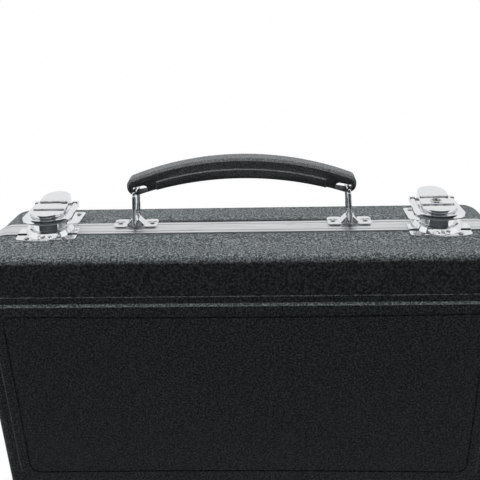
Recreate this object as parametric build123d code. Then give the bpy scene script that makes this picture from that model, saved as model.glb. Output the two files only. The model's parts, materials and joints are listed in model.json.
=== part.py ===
from build123d import *
import os
from math import cos, radians, tan

# Moulded clarinet case, lying closed on its base. X runs along the case, Y from the
# latches to the hinges and Z up, from the panel that the base rests on.

# Two shells, drawn from thermoformed plastic sheet
CASE_LENGTH = 392.0          # over the aluminium rim
CASE_WIDTH = 240.0
BASE_DEPTH = 52.0            # from the resting panel to the parting line
LID_DEPTH = 49.0
CASE_CORNER = 22.0           # plan radius of the rim's outer face
SHELL_WALL = 2.8
DRAFT = 3.0                  # degrees
FACE_ROUND = 5.0             # round between the sides and the large face

# Raised panel and bowed groove in each large face
PANEL_RISE = 1.8
PANEL_SIDE_INSET = 38.5      # from the long sides of the case
PANEL_END_INSET = 13.4
PANEL_CORNER = 10.0
PANEL_SLOPE = 45.0           # degrees, of its edges
LEDGE_RISE = 0.5             # faint step just outside the raised panel
LEDGE_WIDTH = 5.5
GROOVE_INSET = 8.7           # from the panel's edge
GROOVE_WIDTH = 1.3
GROOVE_DEPTH = 0.8
GROOVE_BOW = 1.5             # how far the long sides curve inwards

# Extruded aluminium rims that close on a tongue and a groove
RIM_HEIGHT = 9.75            # of each half, from the parting line
RIM_WALL = 1.1
RIM_WEB = 3.2
RIM_INNER_LEG = 6.4
RIM_EDGE = 0.5
RIM_BEAD_HEIGHT = 5.7        # place of the fine line along each half
RIM_BEAD_DEPTH = 0.35
TONGUE_WIDTH = 1.2
TONGUE_HEIGHT = 1.8
TONGUE_CLEARANCE = 0.35

# Sheet metal, rivets and pins
PLATE = 1.0
PLATE_CORNER = 3.0
JOGGLE = 1.2                 # length of the step from the rim down to the shell
SEAT_GAP = 0.05              # between hardware and the drafted wall
RIVET_HEAD = 4.4
RIVET_HEAD_HEIGHT = 0.9
RIVET_HEAD_TAPER = 42.0       # degrees
RIVET_SHANK = 2.6
RIVET_TAIL_HEIGHT = 0.8
HOLE_CLEARANCE = 0.05
RUNNING_CLEARANCE = 0.05     # radial, of everything that turns on a pin

# Over-centre latches, seen from outside: v runs from the lid to the base, w outwards
LATCH_FROM_END = 52.0         # from the case's end to a latch's middle
CATCH_PLATE_WIDTH = 44.5
CATCH_PLATE_REACH = 21.0     # how far the plate reaches over the lid, at its middle
CATCH_PLATE_SHOULDER = 17.5  # and at its corners
PLATE_PARTING_GAP = 0.5
PLATFORM_RADIUS = 16.6
PLATFORM_MARGIN = 3.6        # from the plate's front to the platform's top
PLATFORM_HEIGHT = 4.2
PLATFORM_ROUND = 0.8
PLATFORM_TAPER = 22.0        # degrees
CATCH_RADIUS = 12.2          # round front of the catch
CATCH_REACH = 13.2           # from the parting line to its front
CATCH_WIDTH = 23.5
CATCH_TOP = 15.6
CATCH_BACK = 2.4             # gap to the parting line
CATCH_SHEET = 1.45
CATCH_LIP = 0.3              # how far the lip stands over the hasp
CATCH_LIP_HEIGHT = 1.8
CATCH_SHOULDER = 1.6         # ledge under the hasp
CATCH_RIVET_U = 13.9
CATCH_RIVET_V = 17.0
LEVER_PIN_V = 4.5
LEVER_PIN_W = 11.9
LEVER_PIN = 2.5
LEVER_WIDTH = 23.5
LEVER_FRONT = 0.7
LEVER_FACE = 16.0            # height of the lever's middle step
LEVER_SHEET = 1.45
LEVER_STEP = 1.0
LEVER_TAB_V = 14.2
LEVER_TAB_WIDTH = 21.3
LEVER_TAB_LENGTH = 19.0
LEVER_TAB_LIFT = 1.2
LEVER_TAB_STRAIGHT = 9.5     # length of the tab's straight sides
EAR = 1.4
EAR_GAP = 0.35
EAR_ROUND = 2.3              # round the lever's pins
HASP_EYE = 5.2               # diameter of the hasp's eyes
EAR_STEM = 5.5
HASP_PIN_V = 22.0
HASP_PIN_W = 11.4            # below the lever's pin, so that a closed latch stays closed
HASP_PIN = 2.4
HASP_HINGE_WIDTH = 33.0
HASP_HEAD_WIDTH = 37.0
HASP_SHOULDER = 9.0          # from its front to where the arms start
HASP_CORNER = 8.0
HASP_HEAD = 3.6              # width of the band in front of the catch
HASP_THICKNESS = 3.0
HASP_CLEARANCE = 0.35        # round the catch
HASP_ROUND = 1.0
LEVER_PLATE_WIDTH = 36.0
LEVER_PLATE_REACH = 37.0
LEVER_RIVET_U = 13.4
LEVER_RIVET_V = 32.0         # Key lock in the left lever
LOCK_V = 7.1
LOCK_PLUG = 6.4
LOCK_BARREL = 7.4
LOCK_COLLAR = 8.6
LOCK_COLLAR_PROUD = 0.6
LOCK_CAM_DROP = 8.2          # from the lever's face to the cam's top
LOCK_CAM_LENGTH = 6.9
LOCK_CAM_WIDTH = 3.0
LOCK_CAM = 1.4
KEYWAY_WIDTH = 1.0
KEYWAY_LENGTH = 3.6
KEEPER = 1.4
KEEPER_WIDTH = 5.0
KEEPER_OVERLAP = 1.4         # how far the turned cam reaches under the keeper's lip
KEEPER_GAP = 0.3

# Handle on two swinging rings
RING_SPACING = 161.0         # between the rings' lower bars
RING_WIRE = 3.0
RING_SIDES = 12               # of the wire's section
RING_HEIGHT = 26.0           # between the centres of its two bars
RING_WIDTH = 20.0            # between the centres of its two legs
RING_ROUND = 3.2
RING_LEAN = 4.6              # degrees, the tops lean towards each other
RING_BAR_W = 2.2
RING_V = 7.5                 # the rings' middle, from the parting line
RING_PLATE_LENGTH = 33.0
RING_PLATE_WIDTH = 14.5
RING_PLATE_WAIST = 9.0
RING_BRIDGE_LENGTH = 15.0
RING_BRIDGE_TOP = 6.0
RING_BRIDGE_HEIGHT = 5.2
RING_RIVET_U = 12.2
RING_RECESS_DEPTH = 0.35
HANDLE_LENGTH = 168.0
HANDLE_THICKNESS = 13.6
HANDLE_END = 13.7            # height of the round ends
HANDLE_END_ROUND = 6.0
HANDLE_MIDDLE = 14.9         # height half way along
HANDLE_RISE = 15.8           # of the middle above the ends
HANDLE_EDGE = 1.8
HANDLE_SLOT_LENGTH = 14.0
HANDLE_SLOT_HEIGHT = 5.8
HANDLE_SLOT_FROM_END = 1.6
HANDLE_SLOT_TILT = 12.0      # degrees, along the arch
HANDLE_BAR_DROP = 1.4        # from the slot's middle down to the ring's bar
GRIP_LENGTH = 124.0
GRIP_BULGE = 0.9             # of the grip's lower half, on each side

# Butt hinges on the spine
HINGE_FROM_END = 86.0         # from the case's end to a hinge's middle
HINGE_WIDTH = 44.0
HINGE_LEAF = 1.4
HINGE_REACH = 24.0
HINGE_PIN = 3.0
HINGE_BARREL = 6.4
HINGE_KNUCKLES = 5
HINGE_KNUCKLE_GAP = 0.3
HINGE_RIM_GAP = 0.3
HINGE_PIN_HEAD = 4.4
HINGE_PIN_TAPER = 20.0       # degrees, of its heads
HINGE_RIVET_U = 15.0
HINGE_RIVET_V = 18.0

# Feet on the spine, for setting the case down as it is carried
FOOT_FROM_END = 46.0
FOOT_V = 25.0
FOOT_RADIUS = 9.2            # at the shell
FOOT_REACH = 9.6             # beyond the rim's outer face
FOOT_STEM = 5.0
FOOT_BULB = 6.4
FOOT_TAPER = 6.0             # degrees
FOOT_EDGE = 1.6

# Fitted insert with wells for the parts of the instrument
INSERT_GAP = 1.4             # to the rim's inner leg
INSERT_FLOOR_GAP = 0.3
INSERT_TOP = 2.5             # below the parting line
INSERT_ROUND = 7.0
WELL_CORNER = 10.0
WELL_ROUND = 4.0             # Each well is its low X, high X, low Y, high Y and floor height
WELLS = {
    "lower_joint": (-183.0, 88.0, 56.0, 107.0, 14.0),
    "upper_joint": (-183.0, 58.0, -1.0, 46.0, 14.0),
    "barrel": (-52.0, 18.0, -106.0, -66.0, 16.0),
    "mouthpiece": (-52.0, 46.0, -56.0, -14.0, 18.0),
    "accessories": (104.0, 183.0, -107.0, 107.0, 12.0),
}
BELL_RADIUS = 39.5
BELL_THROAT = 17.0
BELL_FLARE = 64.0            # length of its flared end
BELL_FLARE_STEP = 11.0       # how much narrower it is half way along the flare
BELL_NECK = 24.0             # radius where the flare ends
BELL_LENGTH = 117.0
BELL_X = -183.0
BELL_Y = -66.0
BELL_AXIS_Z = 51.5
LINING = 3.9
LINING_GAP = 2.0

# Worked out from the sizes above
CASE_HEIGHT = BASE_DEPTH + LID_DEPTH
SLOPE = tan(radians(DRAFT))
WALL_STACK = RIM_WALL + SHELL_WALL
CATCH_CENTRE = CATCH_RADIUS - CATCH_REACH
HASP_LOW = HASP_PIN_W - HASP_THICKNESS / 2
RING_TOP_W = RING_BAR_W + RING_HEIGHT * cos(radians(RING_LEAN))
HINGE_AXIS_Y = CASE_WIDTH / 2 + HINGE_RIM_GAP + HINGE_BARREL / 2


def latch_side(x):
    """Frame on the rim's front face: X along the case, Y towards the base, Z outwards."""
    return Plane((x, -CASE_WIDTH / 2, BASE_DEPTH), x_dir=(-1, 0, 0), z_dir=(0, -1, 0)).location


def hinge_side(x):
    """The same frame on the rim's back face."""
    return Plane((x, CASE_WIDTH / 2, BASE_DEPTH), x_dir=(1, 0, 0), z_dir=(0, 1, 0)).location


def wall_w(distance):
    """How far out the case's side lies, at a distance from the parting line."""
    if distance <= RIM_HEIGHT:
        return 0.0
    return -RIM_WALL - (distance - RIM_HEIGHT) * SLOPE + SEAT_GAP


def on_wall(u, v):
    """Place on the case's side, with Z square to the wall."""
    tilt = 0.0 if abs(v) <= RIM_HEIGHT else -DRAFT * (1 if v > 0 else -1)
    return Location((u, v, wall_w(abs(v))), (tilt, 0, 0))


def across(points, width):
    """Solid with a side view given as (v, w) points, centred on the local YZ plane."""
    return extrude(Plane.YZ * make_face(Polyline(*points, close=True)), amount=width / 2, both=True)


def rim_strip(width, start, end, thickness, toward):
    """Sheet that lies on the rim and steps down to the shell, towards base (1) or lid (-1)."""
    step = RIM_HEIGHT + JOGGLE
    under = [(start, 0.0), (RIM_HEIGHT, 0.0), (step, wall_w(step)), (end, wall_w(end))]
    over = [(end, wall_w(end) + thickness), (step + thickness / 2, wall_w(step + thickness / 2) + thickness),
            (RIM_HEIGHT + thickness / 2, thickness), (start, thickness)]
    return across([(toward * v, w) for v, w in under + over], width)


def behind_wall(width, reach):
    """Everything behind the case's side, used to trim what stands on it."""
    far = wall_w(reach) - FACE_ROUND
    points = [(-reach, wall_w(reach)), (-RIM_HEIGHT, wall_w(RIM_HEIGHT + SEAT_GAP)), (-RIM_HEIGHT, 0.0),
              (RIM_HEIGHT, 0.0), (RIM_HEIGHT, wall_w(RIM_HEIGHT + SEAT_GAP)), (reach, wall_w(reach)),
              (reach, far), (-reach, far)]
    return across(points, width)


def drum(radius, height):
    """Cylinder that stands on the local XY plane."""
    return extrude(Circle(radius), amount=height)


def pin_along_x(diameter, length):
    """Pin centred on the origin, along X."""
    return Rot(0, 90, 0) * Cylinder(diameter / 2, length)


def rivet(grip):
    """Rivet with its flat cone head on the local XY plane and its tail behind the grip."""
    head = extrude(Circle(RIVET_HEAD / 2), amount=RIVET_HEAD_HEIGHT, taper=RIVET_HEAD_TAPER)
    reach = grip + RIVET_TAIL_HEIGHT
    return head + Pos(0, 0, -reach) * drum(RIVET_SHANK / 2, reach)


def rivet_hole():
    """Drill that goes through every sheet under a rivet's head."""
    return Cylinder(RIVET_SHANK / 2 + HOLE_CLEARANCE, 4 * WALL_STACK)


def solids(shapes):
    """One node made of several separate solids."""
    return Compound(children=[Compound([solid]) if isinstance(solid, Solid) else solid
                              for solid in shapes])


# Shells, in a frame of their own: Z is the depth from the parting line to the large face


def outline(inset):
    """The case's plan outline, drawn in by an inset from the rim's outer face."""
    return RectangleRounded(CASE_LENGTH - 2 * inset, CASE_WIDTH - 2 * inset, CASE_CORNER - inset)


def panel_outline(grow):
    """The raised panel's outline, grown or drawn in."""
    length = CASE_LENGTH - 2 * PANEL_END_INSET + 2 * grow
    width = CASE_WIDTH - 2 * PANEL_SIDE_INSET + 2 * grow
    return RectangleRounded(length, width, PANEL_CORNER + grow)


def groove_face():
    """Closed face whose long sides bow inwards, along the outside of the groove."""
    x = CASE_LENGTH / 2 - PANEL_END_INSET - GROOVE_INSET
    y = CASE_WIDTH / 2 - PANEL_SIDE_INSET - GROOVE_INSET
    sides = [ThreePointArc((-x, -y), (0, -y + GROOVE_BOW), (x, -y)), Line((x, -y), (x, y)),
             ThreePointArc((x, y), (0, y - GROOVE_BOW), (-x, y)), Line((-x, y), (-x, -y))]
    face = make_face(sides)
    return fillet(face.vertices(), PANEL_CORNER - GROOVE_WIDTH)


def dished_block(inset, top, depth, edge):
    """Solid inside of a shell: straight behind the rim, then drafted, with a round far edge."""
    straight = Pos(0, 0, top) * extrude(outline(inset), amount=RIM_HEIGHT - top)
    drafted = Pos(0, 0, RIM_HEIGHT) * extrude(outline(inset), amount=depth - RIM_HEIGHT, taper=DRAFT)
    drafted = fillet(drafted.edges().group_by(Axis.Z)[-1], edge)
    return straight + drafted


def shell(depth):
    """One shell with its raised panel, hollow behind it, open towards the parting line."""
    face = depth - PANEL_RISE - LEDGE_RISE
    body = dished_block(RIM_WALL, RIM_WEB, face, FACE_ROUND)
    body += Pos(0, 0, face) * extrude(panel_outline(LEDGE_WIDTH), amount=LEDGE_RISE, taper=PANEL_SLOPE)
    body += Pos(0, 0, face + LEDGE_RISE) * extrude(panel_outline(0), amount=PANEL_RISE, taper=PANEL_SLOPE)
    inner = dished_block(WALL_STACK, RIM_WEB, face - SHELL_WALL, FACE_ROUND - SHELL_WALL)
    body -= inner
    pocket = panel_outline(-SHELL_WALL)
    body -= Pos(0, 0, face - SHELL_WALL) * extrude(pocket, amount=PANEL_RISE + LEDGE_RISE)
    outer = groove_face()
    groove = outer - offset(outer, -GROOVE_WIDTH)
    return body - Pos(0, 0, depth - GROOVE_DEPTH) * extrude(groove, amount=GROOVE_DEPTH)


def ring_band(outer_inset, inner_inset, start, end):
    """Flat band round the case between two insets and two depths."""
    return Pos(0, 0, start) * extrude(outline(outer_inset) - outline(inner_inset), amount=end - start)


def rim():
    """Channel that grips the edge of a shell: outer leg, web and inner leg."""
    outer_leg = ring_band(0, RIM_WALL, 0, RIM_HEIGHT)
    outer_leg = chamfer(outer_leg.edges().group_by(Axis.Z)[-1].filter_by(
        lambda edge: edge.bounding_box().size.length > 0), RIM_EDGE / 2)
    web = ring_band(RIM_WALL, WALL_STACK + RIM_WALL, 0, RIM_WEB)
    inner_leg = ring_band(WALL_STACK, WALL_STACK + RIM_WALL, RIM_WEB, RIM_WEB + RIM_INNER_LEG)
    bead = ring_band(0, RIM_BEAD_DEPTH, RIM_BEAD_HEIGHT, RIM_BEAD_HEIGHT + 2 * RIM_BEAD_DEPTH)
    return outer_leg + web + inner_leg - bead


def tongue(clearance):
    """Rib along the parting line, or with a clearance the groove that takes it."""
    middle = (WALL_STACK + RIM_WALL) / 2
    half = TONGUE_WIDTH / 2 + clearance
    height = TONGUE_HEIGHT + clearance
    return ring_band(middle - half, middle + half, 0, height)


def as_lid(shape):
    """Place a shell's own frame on the parting line, opening downwards."""
    return Pos(0, 0, BASE_DEPTH) * shape


def as_base(shape):
    """The same, mirrored to open upwards."""
    return Pos(0, 0, BASE_DEPTH) * mirror(shape, about=Plane.XY)


# Latches, in the frame of latch_side


def half_space(v):
    """Everything on the base's side of a place along v."""
    return Pos(0, v + CASE_WIDTH / 2, 0) * Box(CASE_WIDTH, CASE_WIDTH, CASE_WIDTH)


def platform_plan(radius, centre_v):
    """Half disc with straight sides towards the base."""
    far = centre_v + 2 * radius
    edge = [ThreePointArc((-radius, centre_v), (0, centre_v - radius), (radius, centre_v)),
            Line((radius, centre_v), (radius, far)), Line((radius, far), (-radius, far)),
            Line((-radius, far), (-radius, centre_v))]
    return make_face(edge)


def catch_plan(grow):
    """Round front and straight back of the catch, grown or drawn in."""
    disc = Pos(0, CATCH_CENTRE) * Circle(CATCH_RADIUS + grow)
    length = 2 * CATCH_RADIUS
    return disc & Pos(0, -CATCH_BACK - length / 2) * Rectangle(CATCH_WIDTH + 2 * grow, length)


def catch_cap():
    """Hollow catch with a lip that keeps the hasp down, open at its back."""
    lip_w = CATCH_TOP - CATCH_LIP_HEIGHT
    shoulder_w = HASP_LOW - HASP_CLEARANCE
    wall = Pos(0, 0, PLATFORM_HEIGHT) * extrude(catch_plan(0), amount=lip_w - PLATFORM_HEIGHT)
    lip = Pos(0, 0, lip_w) * extrude(catch_plan(CATCH_LIP), amount=CATCH_LIP_HEIGHT)
    lip = chamfer(lip.edges().group_by(Axis.Z)[-1].filter_by(GeomType.CIRCLE), CATCH_LIP_HEIGHT / 3)
    shoulder = Pos(0, 0, PLATFORM_HEIGHT) * extrude(catch_plan(CATCH_SHOULDER),
                                                    amount=shoulder_w - PLATFORM_HEIGHT)
    cavity = Pos(0, 0, PLATFORM_HEIGHT) * extrude(catch_plan(-CATCH_SHEET),
                                                  amount=CATCH_TOP - CATCH_SHEET - PLATFORM_HEIGHT)
    return wall + lip + shoulder - cavity


def catch_plate():
    """Plate on the lid with a raised platform and the catch."""
    half = CATCH_PLATE_WIDTH / 2
    shoulder = -CATCH_PLATE_SHOULDER
    edge = [Line((-half, -PLATE_PARTING_GAP), (half, -PLATE_PARTING_GAP)),
            Line((half, -PLATE_PARTING_GAP), (half, shoulder)),
            ThreePointArc((half, shoulder), (0, -CATCH_PLATE_REACH), (-half, shoulder)),
            Line((-half, shoulder), (-half, -PLATE_PARTING_GAP))]
    plan = make_face(edge)
    plan = fillet(plan.vertices().group_by(Axis.Y)[0], PLATE_CORNER)
    sheet = rim_strip(CATCH_PLATE_WIDTH, PLATE_PARTING_GAP, CATCH_PLATE_REACH, PLATE, -1)
    body = sheet & Pos(0, 0, -CATCH_PLATE_REACH) * extrude(plan, amount=2 * CATCH_PLATE_REACH)
    centre = PLATFORM_RADIUS + PLATFORM_MARGIN - CATCH_PLATE_REACH
    lowest = wall_w(CATCH_PLATE_REACH)
    spread = (PLATFORM_HEIGHT - lowest) * tan(radians(PLATFORM_TAPER))
    platform = platform_plan(PLATFORM_RADIUS + spread, centre)
    block = Pos(0, 0, lowest) * extrude(platform, amount=PLATFORM_HEIGHT - lowest, taper=PLATFORM_TAPER)
    block = chamfer(block.edges().group_by(Axis.Z)[-1], PLATFORM_ROUND)
    block -= Pos(0, 0, PLATE / 2) * behind_wall(CASE_WIDTH, CATCH_PLATE_REACH + PLATE_CORNER)
    body += block - half_space(-PLATE_PARTING_GAP)
    body += catch_cap()
    for u in (-CATCH_RIVET_U, CATCH_RIVET_U):
        body -= on_wall(u, -CATCH_RIVET_V) * rivet_hole()
    return body


def lever_top(drop):
    """The lever's upper face in the side view: a flat step, a crease and the tab that lifts."""
    face = LEVER_FACE - drop
    tab = face + LEVER_STEP
    end = LEVER_TAB_V + LEVER_TAB_LENGTH
    return [(LEVER_FRONT, face), (LEVER_TAB_V, face), (LEVER_TAB_V + LEVER_STEP / 3, tab),
            (LEVER_TAB_V + LEVER_TAB_LENGTH / 2, tab + LEVER_TAB_LIFT / 4), (end, tab + LEVER_TAB_LIFT)]


def lever_plan():
    """Plan of the lever: a straight step and a narrower thumb tab with a round end."""
    step = Pos(0, (LEVER_FRONT + LEVER_TAB_V) / 2) * Rectangle(LEVER_WIDTH, LEVER_TAB_V - LEVER_FRONT)
    half = LEVER_TAB_WIDTH / 2
    shoulder = LEVER_TAB_V + LEVER_TAB_STRAIGHT
    end = LEVER_TAB_V + LEVER_TAB_LENGTH
    edge = [Line((-half, LEVER_TAB_V), (half, LEVER_TAB_V)), Line((half, LEVER_TAB_V), (half, shoulder)),
            ThreePointArc((half, shoulder), (0, end), (-half, shoulder)),
            Line((-half, shoulder), (-half, LEVER_TAB_V))]
    return step + make_face(edge)


def lever():
    """Sheet lever with a wall down each side, from the lever's pins to the hasp's pin."""
    top = lever_top(0)
    under = lever_top(LEVER_SHEET)
    sheet = across(top + under[::-1], LEVER_WIDTH) & extrude(lever_plan(), amount=2 * LEVER_FACE)
    sheet = fillet(sheet.edges().filter_by(Axis.X).group_by(Axis.Y)[0].group_by(Axis.Z)[-1], LEVER_SHEET / 2)
    front = LEVER_PIN_V - EAR_ROUND
    back = HASP_PIN_V + HASP_EYE / 2
    low = HASP_PIN_W - HASP_EYE / 2
    side = [(front, under[0][1]), under[1], under[2], under[3], (back, under[3][1]), (back, HASP_PIN_W),
            (HASP_PIN_V + HASP_EYE / 4, low), (HASP_PIN_V - HASP_EYE / 4, low),
            (LEVER_PIN_V, LEVER_PIN_W - EAR_ROUND), (front, LEVER_PIN_W)]
    hollow = [(0, 0), (2 * back, 0), (2 * back, 2 * LEVER_FACE), (0, 2 * LEVER_FACE)]
    walls = across(side, LEVER_TAB_WIDTH) - across(hollow, LEVER_TAB_WIDTH - 2 * LEVER_SHEET)
    body = sheet + walls
    for v, w, pin in ((LEVER_PIN_V, LEVER_PIN_W, LEVER_PIN), (HASP_PIN_V, HASP_PIN_W, HASP_PIN)):
        body -= Pos(0, v, w) * pin_along_x(pin + 2 * RUNNING_CLEARANCE, LEVER_WIDTH)
    return body


def lever_pins():
    """Two short pins that join the ears to the lever's walls."""
    outer = LEVER_TAB_WIDTH / 2
    length = LEVER_SHEET + EAR_GAP + EAR
    pin = Pos(outer - length / 2, LEVER_PIN_V, LEVER_PIN_W) * pin_along_x(LEVER_PIN, length)
    return solids([pin, mirror(pin, about=Plane.YZ)])


def lever_plate(keyed):
    """Plate on the base with the ears of the lever, and a keeper where the latch locks."""
    sheet = rim_strip(LEVER_PLATE_WIDTH, PLATE_PARTING_GAP, LEVER_PLATE_REACH, PLATE, 1)
    plan = Pos(0, LEVER_PLATE_REACH / 2) * Rectangle(LEVER_PLATE_WIDTH, LEVER_PLATE_REACH)
    plan = fillet(plan.vertices().group_by(Axis.Y)[-1], PLATE_CORNER)
    body = sheet & Pos(0, 0, -LEVER_PLATE_REACH) * extrude(plan, amount=2 * LEVER_PLATE_REACH)
    stem_v = LEVER_PIN_V + EAR_GAP
    stem = [(stem_v, PLATE / 2), (LEVER_PIN_V + EAR_STEM, PLATE / 2),
            (LEVER_PIN_V + EAR_ROUND, LEVER_PIN_W), (stem_v, LEVER_PIN_W)]
    ear = Pos(LEVER_PIN_V, LEVER_PIN_W) * Circle(EAR_ROUND) + make_face(Polyline(*stem, close=True))
    ear -= Pos(LEVER_PIN_V, LEVER_PIN_W) * Circle(LEVER_PIN / 2 + HOLE_CLEARANCE)
    ear_u = LEVER_TAB_WIDTH / 2 - LEVER_SHEET - EAR_GAP - EAR
    ears = Pos(ear_u, 0, 0) * extrude(Plane.YZ * ear, amount=EAR)
    body += ears + mirror(ears, about=Plane.YZ)
    for u in (-LEVER_RIVET_U, LEVER_RIVET_U):
        body -= on_wall(u, LEVER_RIVET_V) * rivet_hole()
    return body + keeper() if keyed else body


def keeper():
    """Hook on the lever plate that the lock's cam turns under."""
    lip_w = LEVER_FACE - LOCK_CAM_DROP + KEEPER_GAP
    lip_v = LOCK_V + LOCK_CAM_LENGTH - KEEPER_OVERLAP
    post_v = LOCK_V + LOCK_CAM_LENGTH + KEEPER_GAP
    foot_w = wall_w(post_v) + PLATE / 2
    side = [(post_v, foot_w), (post_v, lip_w), (lip_v, lip_w), (lip_v, lip_w + KEEPER),
            (post_v + KEEPER, lip_w + KEEPER), (post_v + KEEPER, foot_w)]
    return across(side, KEEPER_WIDTH)


def hasp_plan():
    """Plan of the hasp: two arms that widen to a round band in front of the catch."""
    inner = CATCH_RADIUS + HASP_CLEARANCE
    half = HASP_HINGE_WIDTH / 2
    head = HASP_HEAD_WIDTH / 2
    front = CATCH_CENTRE - inner - HASP_HEAD
    shoulder = front + HASP_SHOULDER
    edge = [Line((-half, HASP_PIN_V), (half, HASP_PIN_V)), Line((half, HASP_PIN_V), (head, shoulder)),
            ThreePointArc((head, shoulder), (0, front), (-head, shoulder)),
            Line((-head, shoulder), (-half, HASP_PIN_V))]
    outer = make_face(edge)
    outer = fillet(outer.vertices().group_by(Axis.Y)[0], HASP_CORNER)
    hollow = [Line((-inner, HASP_PIN_V), (inner, HASP_PIN_V)),
              Line((inner, HASP_PIN_V), (inner, CATCH_CENTRE)),
              ThreePointArc((inner, CATCH_CENTRE), (0, CATCH_CENTRE - inner), (-inner, CATCH_CENTRE)),
              Line((-inner, CATCH_CENTRE), (-inner, HASP_PIN_V))]
    return outer - make_face(hollow)


def hasp():
    """Loop hinged on the lever, which draws it tight round the catch."""
    frame = Pos(0, 0, HASP_LOW) * extrude(hasp_plan(), amount=HASP_THICKNESS)
    upper = frame.edges().group_by(Axis.Z)[-1]
    upper = upper.filter_by(lambda edge: edge.center().Y < HASP_PIN_V - HASP_ROUND)
    frame = chamfer(upper, HASP_ROUND)
    place = Pos(0, HASP_PIN_V, HASP_PIN_W)
    eyes = place * pin_along_x(HASP_EYE, HASP_HINGE_WIDTH)
    eyes -= place * Box(2 * (CATCH_RADIUS + HASP_CLEARANCE), 2 * HASP_EYE, 2 * HASP_EYE)
    return frame + eyes - place * pin_along_x(HASP_PIN + 2 * RUNNING_CLEARANCE, 2 * HASP_HINGE_WIDTH)


def hasp_pin():
    """Pin through the lever's walls and both arms of the hasp."""
    return Pos(0, HASP_PIN_V, HASP_PIN_W) * pin_along_x(HASP_PIN, HASP_HINGE_WIDTH)


def lock_barrel():
    """Flanged barrel fixed in the lever's flat step."""
    bore = LOCK_PLUG / 2 + RUNNING_CLEARANCE
    drop = LOCK_CAM_DROP - KEEPER_GAP
    tube = Pos(0, 0, -drop) * extrude(Circle(LOCK_BARREL / 2) - Circle(bore), amount=drop)
    flange = extrude(Circle(LOCK_COLLAR / 2) - Circle(bore), amount=LOCK_COLLAR_PROUD)
    flange = chamfer(flange.edges().group_by(Axis.Z)[-1].sort_by(SortBy.LENGTH)[-1], LOCK_COLLAR_PROUD / 2)
    return Pos(0, LOCK_V, LEVER_FACE) * (tube + flange)


def lock_plug():
    """Key plug with its cam, which points aside while the lever is free."""
    drop = LOCK_CAM_DROP + LOCK_CAM
    top = LOCK_COLLAR_PROUD
    plug = Pos(0, 0, -drop) * drum(LOCK_PLUG / 2, drop + top)
    arm = Pos(LOCK_CAM_LENGTH / 2, 0, -drop) * extrude(Rectangle(LOCK_CAM_LENGTH, LOCK_CAM_WIDTH),
                                                       amount=LOCK_CAM)
    keyway = Pos(0, 0, top) * Box(KEYWAY_WIDTH, KEYWAY_LENGTH, 2 * KEYWAY_LENGTH)
    return Pos(0, LOCK_V, LEVER_FACE) * (plug + arm - keyway)


def lock_hole():
    """Hole in the lever for the lock's barrel."""
    return Pos(0, LOCK_V, LEVER_FACE) * Cylinder(LOCK_BARREL / 2 + HOLE_CLEARANCE, 4 * LEVER_SHEET)


# Handle, rings and their plates, in the frame of latch_side


def ring_plate():
    """Pressed plate shaped like a bow tie, with a bridge over the ring's lower bar."""
    half = RING_PLATE_LENGTH / 2
    wide = RING_PLATE_WIDTH / 2
    waist = RING_PLATE_WAIST / 2
    bridge = RING_BRIDGE_LENGTH / 2
    points = [(-half, -wide), (-bridge, -wide), (-bridge / 2, -waist), (bridge / 2, -waist), (bridge, -wide),
              (half, -wide), (half, wide), (bridge, wide), (bridge / 2, waist), (-bridge / 2, waist),
              (-bridge, wide), (-half, wide)]
    plan = make_face(Polyline(*points, close=True))
    corners = plan.vertices().group_by(Axis.X)
    plan = fillet(corners[0] + corners[-1], PLATE_CORNER)
    deep = RIM_WALL + RING_PLATE_WIDTH * SLOPE + PLATE
    body = Pos(0, RING_V, -deep) * extrude(plan, amount=deep + PLATE)
    for u in (-RING_RIVET_U, RING_RIVET_U):
        recess = SlotOverall(RING_PLATE_WIDTH / 2 + PLATE, RIVET_HEAD + PLATE)
        body -= Pos(u, RING_V, PLATE - RING_RECESS_DEPTH) * extrude(recess, amount=PLATE)
        body -= Pos(u, RING_V, 0) * rivet_hole()
    top = RING_BRIDGE_TOP / 2
    tent = [(-bridge, 0), (-top, RING_BRIDGE_HEIGHT), (top, RING_BRIDGE_HEIGHT), (bridge, 0)]
    strap = extrude(Plane.XZ * make_face(Polyline(*tent, close=True)), amount=waist, both=True)
    strap = fillet(strap.edges().group_by(Axis.Z)[-1].filter_by(Axis.Y), RING_WIRE / 2)
    body += Pos(0, RING_V, 0) * strap
    body -= behind_wall(CASE_WIDTH, RING_V + RING_PLATE_WIDTH)
    tunnel = Rot(90, 0, 0) * Cylinder(RING_WIRE / 2 + RUNNING_CLEARANCE, 2 * RING_PLATE_WIDTH)
    return body - Pos(0, RING_V, RING_BAR_W) * tunnel


def ring(lean):
    """Wire ring in the YZ plane that leans over along X, turning on its lower bar."""
    path = RectangleRounded(RING_WIDTH, RING_HEIGHT, RING_ROUND)
    route = Plane.YZ * (Pos(0, RING_HEIGHT / 2) * path)
    wire = route.wires()[0]
    section = Plane(wire @ 0, z_dir=wire % 0) * RegularPolygon(RING_WIRE / 2, RING_SIDES)
    body = sweep(section, path=wire)
    return Pos(0, RING_V, RING_BAR_W) * Rot(0, lean, 0) * body


def handle_profile():
    """Front view of the handle: an arched bar with round ends."""
    end = HANDLE_LENGTH / 2
    slot_w = RING_TOP_W + HANDLE_BAR_DROP
    low = slot_w - HANDLE_END / 2
    high = low + HANDLE_END
    middle_low = low + HANDLE_RISE - (HANDLE_MIDDLE - HANDLE_END) / 2
    edge = [ThreePointArc((-end, low), (0, middle_low), (end, low)), Line((end, low), (end, high)),
            ThreePointArc((end, high), (0, middle_low + HANDLE_MIDDLE), (-end, high)),
            Line((-end, high), (-end, low))]
    face = make_face(edge)
    return fillet(face.vertices(), HANDLE_END_ROUND), slot_w


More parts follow.
